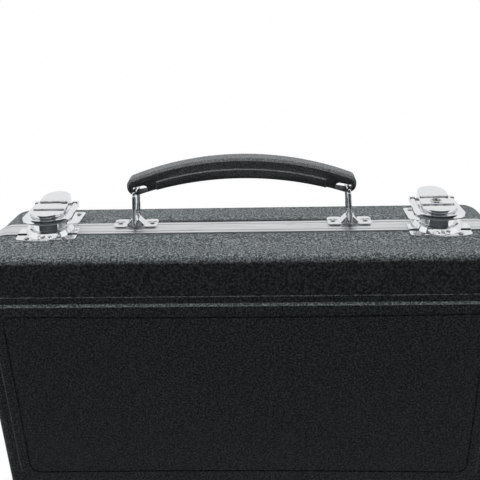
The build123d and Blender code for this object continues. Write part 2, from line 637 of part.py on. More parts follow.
def handle():
    """Moulded handle: arched bar, fuller below its crease, with a slot for each ring."""
    face, slot_w = handle_profile()
    front = Plane((0, 0, 0), x_dir=(1, 0, 0), z_dir=(0, -1, 0))
    body = front * extrude(face, amount=HANDLE_THICKNESS / 2, both=True)
    body = chamfer(body.faces().filter_by(Axis.Y).edges(), HANDLE_EDGE)
    lower = Pos(0, -HANDLE_MIDDLE / 2) * face
    window = Pos(0, slot_w + HANDLE_RISE) * Rectangle(GRIP_LENGTH, 4 * HANDLE_RISE)
    grip = front * extrude((face & lower) & window, amount=HANDLE_THICKNESS / 2 + GRIP_BULGE, both=True)
    grip = chamfer(grip.faces().filter_by(Axis.Y).edges(), GRIP_BULGE - SEAT_GAP)
    body += grip
    slot_x = HANDLE_LENGTH / 2 - HANDLE_SLOT_FROM_END - HANDLE_SLOT_LENGTH / 2
    for side in (-1, 1):
        slot = SlotOverall(HANDLE_SLOT_LENGTH, HANDLE_SLOT_HEIGHT)
        place = Pos(side * slot_x, slot_w) * Rot(0, 0, -side * HANDLE_SLOT_TILT) * slot
        body -= front * extrude(place, amount=HANDLE_THICKNESS, both=True)
    return Pos(0, RING_V, 0) * body


# Hinges and feet, in the frame of hinge_side


def knuckle_spans(lid_part):
    """Spans along the pin that belong to the base's leaf or to the lid's."""
    pitch = HINGE_WIDTH / HINGE_KNUCKLES
    first = 1 if lid_part else 0
    spans = []
    for index in range(first, HINGE_KNUCKLES, 2):
        low = -HINGE_WIDTH / 2 + index * pitch
        spans.append((low + HINGE_KNUCKLE_GAP / 2, low + pitch - HINGE_KNUCKLE_GAP / 2))
    return spans


def hinge_leaf(lid_part):
    """Leaf that lies on the rim and shell and curls into its knuckles."""
    toward = -1 if lid_part else 1
    axis_w = HINGE_AXIS_Y - CASE_WIDTH / 2
    clear = HINGE_BARREL / 2 + HINGE_KNUCKLE_GAP
    body = rim_strip(HINGE_WIDTH, clear, HINGE_REACH, HINGE_LEAF, toward)
    plan = Pos(0, toward * HINGE_REACH / 2) * Rectangle(HINGE_WIDTH, HINGE_REACH)
    far = plan.vertices().group_by(Axis.Y)[-1 if toward > 0 else 0]
    body &= Pos(0, 0, -HINGE_REACH) * extrude(fillet(far, PLATE_CORNER), amount=2 * HINGE_REACH)
    for low, high in knuckle_spans(lid_part):
        middle = (low + high) / 2
        width = high - low
        barrel = Pos(middle, 0, axis_w) * pin_along_x(HINGE_BARREL, width)
        neck = Pos(middle, toward * clear / 2, HINGE_LEAF / 2 + HINGE_RIM_GAP / 2) * Box(
            width, clear, HINGE_LEAF - HINGE_RIM_GAP)
        body += barrel + neck
    body -= Pos(0, 0, axis_w) * pin_along_x(HINGE_PIN + 2 * RUNNING_CLEARANCE, 2 * HINGE_WIDTH)
    for u in (-HINGE_RIVET_U, HINGE_RIVET_U):
        body -= on_wall(u, toward * HINGE_RIVET_V) * rivet_hole()
    return body


def hinge_pin():
    """Hinge pin with a domed head at each end."""
    axis_w = HINGE_AXIS_Y - CASE_WIDTH / 2
    body = pin_along_x(HINGE_PIN, HINGE_WIDTH + HINGE_KNUCKLE_GAP)
    head = Rot(0, 90, 0) * extrude(Circle(HINGE_PIN_HEAD / 2), amount=PLATE, taper=HINGE_PIN_TAPER)
    end = (HINGE_WIDTH + HINGE_KNUCKLE_GAP) / 2
    body += Pos(end, 0, 0) * head + Pos(-end, 0, 0) * Rot(0, 180, 0) * head
    return Pos(0, 0, axis_w) * body


def foot(toward):
    """Rubber foot with a stem that snaps through the shell's wall."""
    tilt = on_wall(0, toward * FOOT_V)
    base_w = wall_w(FOOT_V)
    low = base_w - PLATE
    upper = FOOT_RADIUS - (FOOT_REACH - low) * tan(radians(FOOT_TAPER))
    side = [(0, low), (FOOT_RADIUS, low), (upper, FOOT_REACH - FOOT_EDGE), (upper - FOOT_EDGE, FOOT_REACH),
            (0, FOOT_REACH)]
    body = revolve(Plane.XZ * make_face(Polyline(*side, close=True)), Axis.Z)
    body = Pos(0, toward * FOOT_V, 0) * body - behind_wall(CASE_WIDTH, FOOT_V + 2 * FOOT_RADIUS)
    stem = Pos(0, 0, -SHELL_WALL - SEAT_GAP * 2) * drum(FOOT_STEM / 2, SHELL_WALL + PLATE)
    bulb = Pos(0, 0, -SHELL_WALL - SEAT_GAP * 2 - PLATE) * drum(FOOT_BULB / 2, PLATE)
    return body + tilt * (stem + bulb)


def foot_hole(toward):
    """Hole in the shell for a foot's stem."""
    return on_wall(0, toward * FOOT_V) * Cylinder(FOOT_STEM / 2 + HOLE_CLEARANCE, 4 * SHELL_WALL)


# Insert and lining


def well(low_x, high_x, low_y, high_y, floor):
    """Well with round corners and a round floor, open at the top."""
    height = BASE_DEPTH - floor
    block = Pos((low_x + high_x) / 2, (low_y + high_y) / 2, floor) * extrude(
        RectangleRounded(high_x - low_x, high_y - low_y, WELL_CORNER), amount=height)
    return chamfer(block.edges().group_by(Axis.Z)[0], WELL_ROUND)


def bell_well():
    """Flared well for the bell, with the big end to the left."""
    middle = (BELL_FLARE / 2, BELL_RADIUS - BELL_FLARE_STEP)
    edge = [Line((0, 0), (0, BELL_RADIUS)), ThreePointArc((0, BELL_RADIUS), middle, (BELL_FLARE, BELL_NECK)),
            Line((BELL_FLARE, BELL_NECK), (BELL_LENGTH, BELL_THROAT)),
            Line((BELL_LENGTH, BELL_THROAT), (BELL_LENGTH, 0)), Line((BELL_LENGTH, 0), (0, 0))]
    return Pos(BELL_X, BELL_Y, BELL_AXIS_Z) * revolve(make_face(edge), Axis.X)


def base_insert():
    """Plush covered block that fills the base, with the wells pressed into it."""
    inset = WALL_STACK + RIM_WALL + INSERT_GAP
    floor = PANEL_RISE + LEDGE_RISE + SHELL_WALL + INSERT_FLOOR_GAP
    top = BASE_DEPTH - INSERT_TOP
    block = Pos(0, 0, floor) * extrude(outline(inset), amount=top - floor)
    block = chamfer(block.edges().group_by(Axis.Z)[0], INSERT_ROUND)
    for box in WELLS.values():
        block -= well(*box)
    return block - bell_well()


def lid_lining():
    """Thin padded lining against the inside of the lid."""
    inset = WALL_STACK + (LID_DEPTH - RIM_HEIGHT) * SLOPE + FACE_ROUND - SHELL_WALL + LINING_GAP
    high = CASE_HEIGHT - PANEL_RISE - LEDGE_RISE - SHELL_WALL - INSERT_FLOOR_GAP
    pad = Pos(0, 0, high - LINING) * extrude(outline(inset), amount=LINING)
    return chamfer(pad.edges().group_by(Axis.Z)[0], LINING / 2)


# Assembly


def save(node, shape):
    export_step(shape, f"parts/{node}.step")


def main():
    os.makedirs("parts", exist_ok=True)
    end = CASE_LENGTH / 2
    latches = {"left": LATCH_FROM_END - end, "right": end - LATCH_FROM_END}
    rings = {"left": -RING_SPACING / 2, "right": RING_SPACING / 2}
    hinges = {"left": HINGE_FROM_END - end, "right": end - HINGE_FROM_END}
    feet = (FOOT_FROM_END - end, end - FOOT_FROM_END)

    lid_latch = [latch_side(x) * on_wall(u, -CATCH_RIVET_V) for x in latches.values()
                 for u in (-CATCH_RIVET_U, CATCH_RIVET_U)]
    base_latch = [latch_side(x) * on_wall(u, LEVER_RIVET_V) for x in latches.values()
                  for u in (-LEVER_RIVET_U, LEVER_RIVET_U)]
    on_handle = [latch_side(x) * Location((u, RING_V, 0)) for x in rings.values()
                 for u in (-RING_RIVET_U, RING_RIVET_U)]
    lid_hinge = [hinge_side(x) * on_wall(u, -HINGE_RIVET_V) for x in hinges.values()
                 for u in (-HINGE_RIVET_U, HINGE_RIVET_U)]
    base_hinge = [hinge_side(x) * on_wall(u, HINGE_RIVET_V) for x in hinges.values()
                  for u in (-HINGE_RIVET_U, HINGE_RIVET_U)]

    lid_body = as_lid(shell(LID_DEPTH))
    base_body = as_base(shell(BASE_DEPTH))
    lid_rim = as_lid(rim() - tongue(TONGUE_CLEARANCE))
    base_rim = as_base(rim()) + as_lid(tongue(0))
    for place in lid_latch + lid_hinge:
        lid_body -= place * rivet_hole()
    for place in base_latch + base_hinge + on_handle:
        base_body -= place * rivet_hole()
    for place in on_handle:
        base_rim -= place * rivet_hole()
    for x in feet:
        lid_body -= hinge_side(x) * foot_hole(-1)
        base_body -= hinge_side(x) * foot_hole(1)
    save("lid_shell", lid_body)
    save("base_shell", base_body)
    save("lid_rim", lid_rim)
    save("base_rim", base_rim)
    save("lid_feet", solids([hinge_side(x) * foot(-1) for x in feet]))
    save("base_feet", solids([hinge_side(x) * foot(1) for x in feet]))
    save("base_insert", base_insert())
    save("lid_lining", lid_lining())

    sheet_grip = PLATE + SHELL_WALL + 2 * SEAT_GAP
    leaf_grip = HINGE_LEAF + SHELL_WALL + 2 * SEAT_GAP
    rim_grip = PLATE - RING_RECESS_DEPTH + WALL_STACK + RIM_WALL + SEAT_GAP
    rivets = {
        "lid_latch_rivets": (lid_latch, PLATE, sheet_grip),
        "base_latch_rivets": (base_latch, PLATE, sheet_grip),
        "lid_hinge_rivets": (lid_hinge, HINGE_LEAF, leaf_grip),
        "base_hinge_rivets": (base_hinge, HINGE_LEAF, leaf_grip),
        "handle_rivets": (on_handle, PLATE - RING_RECESS_DEPTH, rim_grip),
    }
    for node, (places, seat, grip) in rivets.items():
        save(node, solids([place * Pos(0, 0, seat) * rivet(grip) for place in places]))

    for side, x in latches.items():
        keyed = side == "left"
        arm = lever() - lock_hole() if keyed else lever()
        save(f"catch_plate_{side}", latch_side(x) * catch_plate())
        save(f"lever_plate_{side}", latch_side(x) * lever_plate(keyed))
        save(f"lever_pins_{side}", latch_side(x) * lever_pins())
        save(f"lever_{side}", latch_side(x) * arm)
        save(f"hasp_{side}", latch_side(x) * hasp())
        save(f"hasp_pin_{side}", latch_side(x) * hasp_pin())
        if keyed:
            save("lock_barrel", latch_side(x) * lock_barrel())
            save("lock_plug", latch_side(x) * lock_plug())

    for side, x in rings.items():
        save(f"ring_plate_{side}", latch_side(x) * ring_plate())
        save(f"ring_{side}", latch_side(x) * ring(RING_LEAN if side == "right" else -RING_LEAN))
    save("handle", latch_side(0) * handle())

    for side, x in hinges.items():
        save(f"base_hinge_leaf_{side}", hinge_side(x) * hinge_leaf(False))
        save(f"lid_hinge_leaf_{side}", hinge_side(x) * hinge_leaf(True))
        save(f"hinge_pin_{side}", hinge_side(x) * hinge_pin())


main()
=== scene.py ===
import json
import math

import bpy
from mathutils import Matrix, Vector


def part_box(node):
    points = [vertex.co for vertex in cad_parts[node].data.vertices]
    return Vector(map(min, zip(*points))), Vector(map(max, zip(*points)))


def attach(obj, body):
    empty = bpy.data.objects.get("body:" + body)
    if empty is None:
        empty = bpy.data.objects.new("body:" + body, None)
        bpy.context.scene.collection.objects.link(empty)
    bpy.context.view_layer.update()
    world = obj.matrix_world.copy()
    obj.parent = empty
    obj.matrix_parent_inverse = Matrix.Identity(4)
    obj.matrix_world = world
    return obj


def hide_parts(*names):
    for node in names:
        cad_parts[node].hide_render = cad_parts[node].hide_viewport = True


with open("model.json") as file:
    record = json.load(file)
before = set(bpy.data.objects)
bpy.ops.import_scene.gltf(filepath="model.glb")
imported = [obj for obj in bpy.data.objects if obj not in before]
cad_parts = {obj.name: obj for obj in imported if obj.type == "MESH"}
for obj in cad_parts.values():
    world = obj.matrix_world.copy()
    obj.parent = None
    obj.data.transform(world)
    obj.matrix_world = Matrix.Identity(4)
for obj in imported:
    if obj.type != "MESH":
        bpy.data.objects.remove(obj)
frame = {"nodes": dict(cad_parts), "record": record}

bl_info = {
    "name": "Clarinet Case",
    "version": (1, 0, 0),
    "blender": (4, 5, 0),
    "location": "View3D > Sidebar > Case",
    "description": "Finishes, padding and studio for a moulded clarinet case",
    "category": "Object",
}

NODES = frame["nodes"]
BODY_OF = {node: body for body, members in frame["record"]["behaviour"]["bodies"].items()
           for node in members}
SIDES = ("left", "right")

# Mesh work
JOIN_DISTANCE = 0.000002            # m, between points that two CAD faces share
FLAT_ANGLE = math.radians(0.6)      # faces within it become one flat face
BEVEL_ANGLE = math.radians(28.0)    # an edge sharper than this is rounded
SHADE_ANGLE = 32.0                  # degrees, an edge sharper than this stays sharp in the shading
ROUND_SHADE_ANGLE = 40.0            # degrees, the same for the bent wire of the rings
SHELL_SHADE_ANGLE = 35.0            # degrees, the same for the shells
FOOT_EDGE = 0.0007                  # m, round of the feet's edges
LOCK_EDGE_SHARE = 0.6               # of the plates' round, on the lock
CLOTH_FRAMES = 20
CLOTH_MASS = 0.3                    # kg a point
SEAM_SHARE = 0.06                   # of a channel, held on each side of its seam

# Studio
FLOOR_SIZE = 14.0                   # m
FLOOR_GLOW = 1.02                   # strength that leaves the floor white
CAMERA_SHARE = 0.97                 # of the glow in what the camera sees, the rest keeps the shadow
MIRROR_SHARE = 0.85                 # of the glow in what polished faces see
SENSOR_WIDTH = 36.0                 # mm
# Name, place, target, width and height in metres, and the value that holds the power
LAMPS = (("key_lamp", (0.10, -1.15, 0.075), (0.0, -0.10, 0.05), (1.7, 0.14), "key"),
         ("top_lamp", (0.0, 0.20, 1.30), (0.0, 0.0, 0.05), (1.2, 1.2), "top"))
# Name, low corner and high corner in metres of each dark card
CARDS = (("upper_card", (-1.4, -0.52, 1.0), (1.4, 0.8, 1.0)),
         ("middle_card", (-1.4, -1.5, 1.0), (1.4, -0.68, 1.0)),
         ("front_card", (-1.6, -1.5, 0.03), (1.6, -1.5, 1.0)))


# Values that a user would change


def colour(label, text, value):
    return bpy.props.FloatVectorProperty(name=label, description=text, default=value, size=3,
                                         min=0.0, max=1.0, subtype="COLOR")


def length(label, text, value):
    return bpy.props.FloatProperty(name=label, description=text, default=value, min=0.0,
                                   unit="LENGTH", precision=5)


def number(label, text, value):
    return bpy.props.FloatProperty(name=label, description=text, default=value, min=0.0)


class CaseFinish(bpy.types.PropertyGroup):
    """Colours and grain sizes of the case."""
    shell: colour("Shell", "Moulded sheet of both shells", (0.026, 0.031, 0.033))
    # Shell specks: a painted highlight, light colour on the grain tips in place of the glint of
    # light on them
    shell_painted_glint: colour("Shell specks", "Light tips of the shells' grain", (0.31, 0.333, 0.34))
    shell_grain: length("Shell grain", "Size of the pebbles in the sheet", 0.0014)
    rim: colour("Rim", "Brushed aluminium", (0.79, 0.80, 0.815))
    plating: colour("Plating", "Polished latches, rings and lock", (0.86, 0.87, 0.885))
    satin: colour("Satin steel", "Hinges and rivets", (0.60, 0.61, 0.63))
    handle: colour("Handle", "Moulded handle", (0.095, 0.099, 0.102))
    handle_grain: length("Handle grain", "Size of the leather grain", 0.0016)
    rubber: colour("Feet", "Rubber of the feet", (0.018, 0.018, 0.018))
    plush: colour("Plush", "Pile of the insert and the lining", (0.036, 0.045, 0.100))
    pile: length("Pile", "Size of the plush's tufts", 0.0009)


class CaseShape(bpy.types.PropertyGroup):
    """Sizes of the worked edges and of the padding."""
    plate_edge: length("Plate edge", "Round of the sheet metal's edges", 0.00022)
    hasp_edge: length("Hasp edge", "Round of the hasps' edges", 0.0006)
    handle_edge: length("Handle edge", "Round of the handle's edges", 0.0011)
    rim_edge: length("Rim edge", "Round of the rims' edges", 0.00015)
    rivet_edge: length("Rivet edge", "Round of the rivets' heads", 0.00035)
    insert_voxel: length("Insert voxel", "Remesh size of the insert", 0.005)
    lining_voxel: length("Lining voxel", "Remesh size of the lining", 0.003)
    lining_shrink: length("Lining shrink", "How much smaller the lining starts", 0.0007)
    insert_shrink: length("Insert shrink", "How much smaller the insert starts", 0.0016)
    insert_swell: length("Insert swell", "Most that a point of the insert may move", 0.0026)
    lining_swell: length("Lining swell", "Most that a point of the lining may move", 0.0016)
    channel: length("Channel", "Distance between the lining's sewn channels", 0.046)
    pressure: number("Pressure", "Air pressure of the padding", 4.0)


class CaseStudio(bpy.types.PropertyGroup):
    """Camera, lamps and floor."""
    lens: number("Lens", "Focal length on a 36 mm sensor", 51.8)
    place: bpy.props.FloatVectorProperty(name="Camera", description="Place of the camera", size=3,
                                         default=(-0.01719, -0.32404, 0.52621), subtype="XYZ",
                                         unit="LENGTH", precision=5)
    yaw: number("Yaw", "Turn of the view to the side, in radians", 0.03998)
    pitch: number("Pitch", "Turn of the view along the case, in radians", 0.42542)
    roll: number("Roll", "Turn of the picture, in radians, clockwise", 0.02824)
    floor: colour("Floor", "Pale floor", (0.86, 0.86, 0.86))
    card: colour("Card", "Dark card that the plating mirrors", (0.09, 0.10, 0.105))
    key: number("Key lamp", "Power of the soft lamp on the latch side, in watts", 24.0)
    top: number("Top lamp", "Power of the soft lamp above, in watts", 0.35)
    sky: number("Sky", "Strength of the even light from all round", 0.10)


# Shader maths and nodes


class Field:
    """Socket of a material, so that shader maths reads as arithmetic."""

    def __init__(self, finish, socket):
        self.finish = finish
        self.socket = socket

    def maths(self, operation, first, second):
        return self.finish.node("ShaderNodeMath", {"operation": operation}, {0: first, 1: second})

    def __add__(self, other):
        return self.maths("ADD", self, other)

    def __radd__(self, other):
        return self.maths("ADD", other, self)

    def __sub__(self, other):
        return self.maths("SUBTRACT", self, other)

    def __rsub__(self, other):
        return self.maths("SUBTRACT", other, self)

    def __mul__(self, other):
        return self.maths("MULTIPLY", self, other)

    def __rmul__(self, other):
        return self.maths("MULTIPLY", other, self)


class Finish:
    """Material made of nodes, on object coordinates."""

    def __init__(self, name, fixed=()):
        self.material = bpy.data.materials.new(name)
        self.material.use_nodes = True
        self.nodes = self.material.node_tree.nodes
        self.links = self.material.node_tree.links
        self.nodes.clear()
        self.output = self.nodes.new("ShaderNodeOutputMaterial")
        self.surface = self.nodes.new("ShaderNodeBsdfPrincipled")
        self.links.new(self.surface.outputs[0], self.output.inputs["Surface"])
        for socket, value in dict(fixed).items():
            self.surface.inputs[socket].default_value = value
        self.place = self.node("ShaderNodeTexCoord", {}, {}, "Object")

    def node(self, kind, settings, sockets, output=0):
        """Add a node, set it, fill or link its sockets, and give back one output."""
        made = self.nodes.new(kind)
        for name, value in settings.items():
            if name == "stops":
                for stop, (position, shade) in zip(made.color_ramp.elements, value):
                    stop.position = position
                    stop.color = (shade, shade, shade, 1.0)
            else:
                setattr(made, name, value)
        for name, value in sockets.items():
            if isinstance(value, Field):
                self.links.new(value.socket, made.inputs[name])
            else:
                made.inputs[name].default_value = value
        return Field(self, made.outputs[output])

    def stretched(self, x, y, z):
        """Object coordinates, scaled along each axis."""
        return self.node("ShaderNodeMapping", {}, {"Vector": self.place, "Scale": (x, y, z)})

    def noise(self, size, detail=3.0, place=None, rough=0.5):
        """Noise with features of about a size in metres."""
        return self.node("ShaderNodeTexNoise", {}, {
            "Vector": place or self.place, "Scale": 1 / size, "Detail": detail, "Roughness": rough})

    def creases(self, size):
        """Distance to the edges of cells, which is nought in the creases between them."""
        return self.node("ShaderNodeTexVoronoi", {"feature": "DISTANCE_TO_EDGE"},
                         {"Vector": self.place, "Scale": 1 / size})

    def ramp(self, value, low, high):
        """From black at the low value to white at the high one."""
        return self.node("ShaderNodeValToRGB", {"stops": ((low, 0.0), (high, 1.0))},
                         {"Fac": value})

    def blend(self, factor, first, second):
        """Mix of two colours, each a field or three numbers."""
        first, second = (shade if isinstance(shade, Field) else (*shade, 1.0)
                         for shade in (first, second))
        return self.node("ShaderNodeMix", {"data_type": "RGBA"},
                         {0: factor, 6: first, 7: second}, 2)

    def bump(self, height, strength, depth):
        return self.node("ShaderNodeBump", {},
                         {"Height": height, "Strength": strength, "Distance": depth})

    def feed(self, **fields):
        """Link fields to the surface's sockets, and give back the material."""
        for socket, value in fields.items():
            self.links.new(value.socket, self.surface.inputs[socket.replace("_", " ").title()])
        return self.material


def scaled(shade, factor):
    return tuple(channel * factor for channel in shade)


def shell_finish(values):
    """Pebbled thermoformed sheet, with light specks on the tips of its grain that are a painted
    highlight, standing in for the glint of light on the pebbles.
    """
    sheet = Finish("shell_grain", {"Specular IOR Level": 0.10})
    pebbles = sheet.noise(values.shell_grain, 3.0, rough=0.7)
    fine = sheet.noise(values.shell_grain * 0.3, 3.0, rough=0.6)
    clouds = sheet.noise(0.03, 2.0)
    tips = sheet.ramp(pebbles * 0.72 + fine * 0.28, 0.46, 0.60)
    shade = sheet.blend(clouds, scaled(values.shell, 0.8), scaled(values.shell, 1.25))
    # Painted highlight: the tips of the pebbles take the light speck colour in place of the glint
    # of light on them
    shade = sheet.blend(tips * 0.62, shade, values.shell_painted_glint)
    return sheet.feed(base_color=shade, roughness=0.42 + 0.22 * clouds + 0.12 * fine,
                      normal=sheet.bump(pebbles + fine * 0.35, 0.7, 0.0007))


def rim_finish(values):
    """Brushed aluminium with its lines along the case."""
    metal = Finish("rim_brushed", {"Metallic": 1.0})
    along = metal.noise(0.00035, 3.0, metal.stretched(0.012, 1.0, 1.0))
    coarse = metal.noise(0.0016, 2.0, metal.stretched(0.03, 1.0, 1.0))
    wear = metal.ramp(metal.noise(0.011, 5.0), 0.60, 0.78)
    lines = metal.ramp(coarse * 0.6 + along * 0.4, 0.40, 0.62)
    shade = metal.blend(lines * 0.7, values.rim, scaled(values.rim, 0.66))
    shade = metal.blend(wear * 0.25, shade, scaled(values.rim, 0.55))
    return metal.feed(base_color=shade, roughness=0.24 + 0.16 * along + 0.12 * wear,
                      normal=metal.bump(along + coarse * 0.5, 0.22, 0.00006))


def plated_finish(name, values, darker=1.0):
    """Polished plating with faint wipe marks and pits."""
    metal = Finish(name, {"Metallic": 1.0})
    wipes = metal.noise(0.004, 4.0, metal.stretched(1.0, 0.25, 1.0))
    pits = metal.ramp(metal.noise(0.0007, 2.0), 0.66, 0.80)
    shade = metal.blend(wipes * 0.35, scaled(values.plating, darker),
                        scaled(values.plating, 0.78 * darker))
    return metal.feed(base_color=shade, roughness=0.055 + 0.09 * wipes + 0.10 * pits,
                      normal=metal.bump(metal.noise(0.006, 2.0) - 0.4 * pits, 0.32, 0.00025))


def satin_finish(name, values):
    """Satin steel with a fine random brushing."""
    metal = Finish(name, {"Metallic": 1.0})
    brushing = metal.noise(0.0004, 3.0, metal.stretched(0.08, 1.0, 1.0))
    tarnish = metal.noise(0.006, 4.0)
    shade = metal.blend(tarnish, scaled(values.satin, 0.80), scaled(values.satin, 1.10))
    return metal.feed(base_color=shade, roughness=0.22 + 0.16 * brushing + 0.08 * tarnish,
                      normal=metal.bump(brushing, 0.15, 0.00005))


def handle_finish(values):
    """Moulded plastic with a leather grain."""
    plastic = Finish("handle_leather_grain", {"Specular IOR Level": 0.16})
    creases = plastic.ramp(plastic.creases(values.handle_grain), 0.02, 0.22)
    pores = plastic.noise(values.handle_grain * 0.35, 3.0)
    hand_wear = plastic.noise(0.018, 3.0)
    shade = plastic.blend(creases, scaled(values.handle, 0.6), scaled(values.handle, 1.35))
    return plastic.feed(base_color=shade,
                        roughness=0.30 + 0.20 * hand_wear + 0.12 * (1.0 - creases),
                        normal=plastic.bump(creases + pores * 0.35, 0.55, 0.00022))


def rubber_finish(values):
    """Matt rubber with dust in its pores."""
    rubber = Finish("foot_rubber", {"Specular IOR Level": 0.3})
    pores = rubber.noise(0.0006, 3.0)
    dust = rubber.ramp(rubber.noise(0.004, 4.0), 0.5, 0.8)
    shade = rubber.blend(dust * 0.4, values.rubber, scaled(values.rubber, 3.2))
    return rubber.feed(base_color=shade, roughness=0.66 + 0.22 * pores,
                       normal=rubber.bump(pores, 0.3, 0.0001))


def plush_finish(name, values):
    """Short pile with brushed patches and a soft sheen."""
    cloth = Finish(name, {"Sheen Weight": 0.55, "Sheen Roughness": 0.35,
                          "Specular IOR Level": 0.15})
    tufts = cloth.noise(values.pile, 3.0, rough=0.7)
    patches = cloth.ramp(cloth.noise(0.028, 3.0), 0.38, 0.64)
    shade = cloth.blend(tufts, scaled(values.plush, 0.45), scaled(values.plush, 1.5))
    shade = cloth.blend(patches * 0.35, shade, scaled(values.plush, 2.4))
    return cloth.feed(base_color=shade, roughness=0.78 + 0.18 * tufts,
                      normal=cloth.bump(tufts + patches * 0.25, 0.85, 0.0007))


# Mesh work


def alone(obj):
    """Make one object the only selected and active one."""
    bpy.ops.object.select_all(action="DESELECT")
    obj.select_set(True)
    bpy.context.view_layer.objects.active = obj


def painted(obj, material):
    """Give a piece one material."""
    obj.data.materials.clear()
    obj.data.materials.append(material)
    return obj


def worked_copy(node, name):
    """Copy of a CAD node with its faces joined and its flat faces whole."""
    copy = bpy.data.objects.new(name, NODES[node].data.copy())
    bpy.context.scene.collection.objects.link(copy)
    alone(copy)
    bpy.ops.object.mode_set(mode="EDIT")
    bpy.ops.mesh.select_all(action="SELECT")
    bpy.ops.mesh.remove_doubles(threshold=JOIN_DISTANCE)
    bpy.ops.mesh.dissolve_limited(angle_limit=FLAT_ANGLE)
    bpy.ops.object.mode_set(mode="OBJECT")
    return copy


def smoothed(obj, degrees=SHADE_ANGLE):
    """Shade a piece smooth, apart from its sharp edges."""
    alone(obj)
    bpy.ops.object.shade_smooth_by_angle(angle=math.radians(degrees))
    return obj


def bevelled(obj, width, segments):
    """Round the sharp edges of a piece."""
    alone(obj)
    bevel = obj.modifiers.new("edges", "BEVEL")
    bevel.width = width
    bevel.segments = segments
    bevel.limit_method = "ANGLE"
    bevel.angle_limit = BEVEL_ANGLE
    bevel.use_clamp_overlap = True
    bevel.miter_outer = "MITER_SHARP"
    bpy.ops.object.modifier_apply(modifier="edges")
    return smoothed(obj)


def stands_for(obj, node):
    """Put a finished piece in a CAD node's place."""
    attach(obj, BODY_OF[node])
    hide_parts(node)


def rounded(node, width, material, segments=3):
    """Piece with rounded edges in place of a CAD node."""
    piece = bevelled(worked_copy(node, node + "_worked"), width, segments)
    stands_for(painted(piece, material), node)
    return piece


def remeshed(node, name, voxel, shrink):
    """Even mesh over a CAD node's form, a little smaller than it and with soft corners."""
    piece = worked_copy(node, name)
    voxels = piece.modifiers.new("voxels", "REMESH")
    voxels.mode = "VOXEL"
    voxels.voxel_size = voxel
    bpy.ops.object.modifier_apply(modifier="voxels")
    bpy.ops.object.mode_set(mode="EDIT")
    bpy.ops.mesh.select_all(action="SELECT")
    bpy.ops.transform.shrink_fatten(value=-shrink)
    bpy.ops.mesh.vertices_smooth(factor=0.5, repeat=2)
    bpy.ops.object.mode_set(mode="OBJECT")
    return piece


def within(obj, low, high):
    """Keep a piece between two heights."""
    for vertex in obj.data.vertices:
        vertex.co.z = min(max(vertex.co.z, low), high)
    return obj


def plump(obj, pressure, most, seams=None):
    """Swell a closed mesh with air pressure, by no more than a set distance."""
    before = [vertex.co.copy() for vertex in obj.data.vertices]
    cloth = obj.modifiers.new("padding", "CLOTH")
    cloth.settings.use_pressure = True
    cloth.settings.uniform_pressure_force = pressure
    cloth.settings.effector_weights.gravity = 0.0
    cloth.settings.mass = CLOTH_MASS
    if seams:
        cloth.settings.vertex_group_mass = seams
    scene = bpy.context.scene
    for step in range(1, CLOTH_FRAMES + 1):
        scene.frame_set(step)
    alone(obj)
    bpy.ops.object.modifier_apply(modifier="padding")
    scene.frame_set(1)
    for vertex, rest in zip(obj.data.vertices, before):
        move = vertex.co - rest
        if move.length > most:
            vertex.co = rest + move * (most / move.length)
    return obj


def subdivided(obj):
    """Make a mesh finer and smooth."""
    alone(obj)
    obj.modifiers.new("soft", "SUBSURF").levels = 1
    obj.modifiers["soft"].render_levels = 1
    bpy.ops.object.modifier_apply(modifier="soft")
    bpy.ops.object.shade_smooth()
    return obj


# Operators


class CASE_OT_shells(bpy.types.Operator):
    """Finish both shells and their feet"""
    bl_idname = "case.shells"
    bl_label = "Shells and Feet"

    def execute(self, context):
        values = context.scene.case_finish
        sheet = shell_finish(values)
        for node in ("base_shell", "lid_shell"):
            painted(NODES[node], sheet)
            smoothed(NODES[node], SHELL_SHADE_ANGLE)
        rubber = rubber_finish(values)
        for node in ("base_feet", "lid_feet"):
            rounded(node, FOOT_EDGE, rubber)
        return {"FINISHED"}


class CASE_OT_rims(bpy.types.Operator):
    """Finish the aluminium rims"""
    bl_idname = "case.rims"
    bl_label = "Rims"

    def execute(self, context):
        metal = rim_finish(context.scene.case_finish)
        for node in ("base_rim", "lid_rim"):
            rounded(node, context.scene.case_shape.rim_edge, metal, 2)
        return {"FINISHED"}


class CASE_OT_latches(bpy.types.Operator):
    """Finish the latches, their plates and the lock"""
    bl_idname = "case.latches"
    bl_label = "Latches"

    def execute(self, context):
        shape = context.scene.case_shape
        values = context.scene.case_finish
        plating = plated_finish("latch_plating", values)
        for side in SIDES:
            for part in ("catch_plate", "lever_plate", "lever"):
                rounded(f"{part}_{side}", shape.plate_edge, plating)
            rounded(f"hasp_{side}", shape.hasp_edge, plating)
            painted(NODES[f"hasp_pin_{side}"], plating)
            painted(NODES[f"lever_pins_{side}"], plating)
        lock = plated_finish("lock_plating", values, 0.86)
        edge = shape.plate_edge * LOCK_EDGE_SHARE
        rounded("lock_barrel", edge, lock, 2)
        plug = plated_finish("plug_plating", values, 0.22)
        rounded("lock_plug", edge, plug, 2)
        return {"FINISHED"}


class CASE_OT_handle(bpy.types.Operator):
    """Finish the handle, its rings and their plates"""
    bl_idname = "case.handle"
    bl_label = "Handle and Rings"

    def execute(self, context):
        shape = context.scene.case_shape
        values = context.scene.case_finish
        rounded("handle", shape.handle_edge, handle_finish(values), 4)
        plating = plated_finish("ring_plating", values, 0.95)
        for side in SIDES:
            rounded(f"ring_plate_{side}", shape.plate_edge, plating)
            painted(NODES[f"ring_{side}"], plating)
            smoothed(NODES[f"ring_{side}"], ROUND_SHADE_ANGLE)
        return {"FINISHED"}


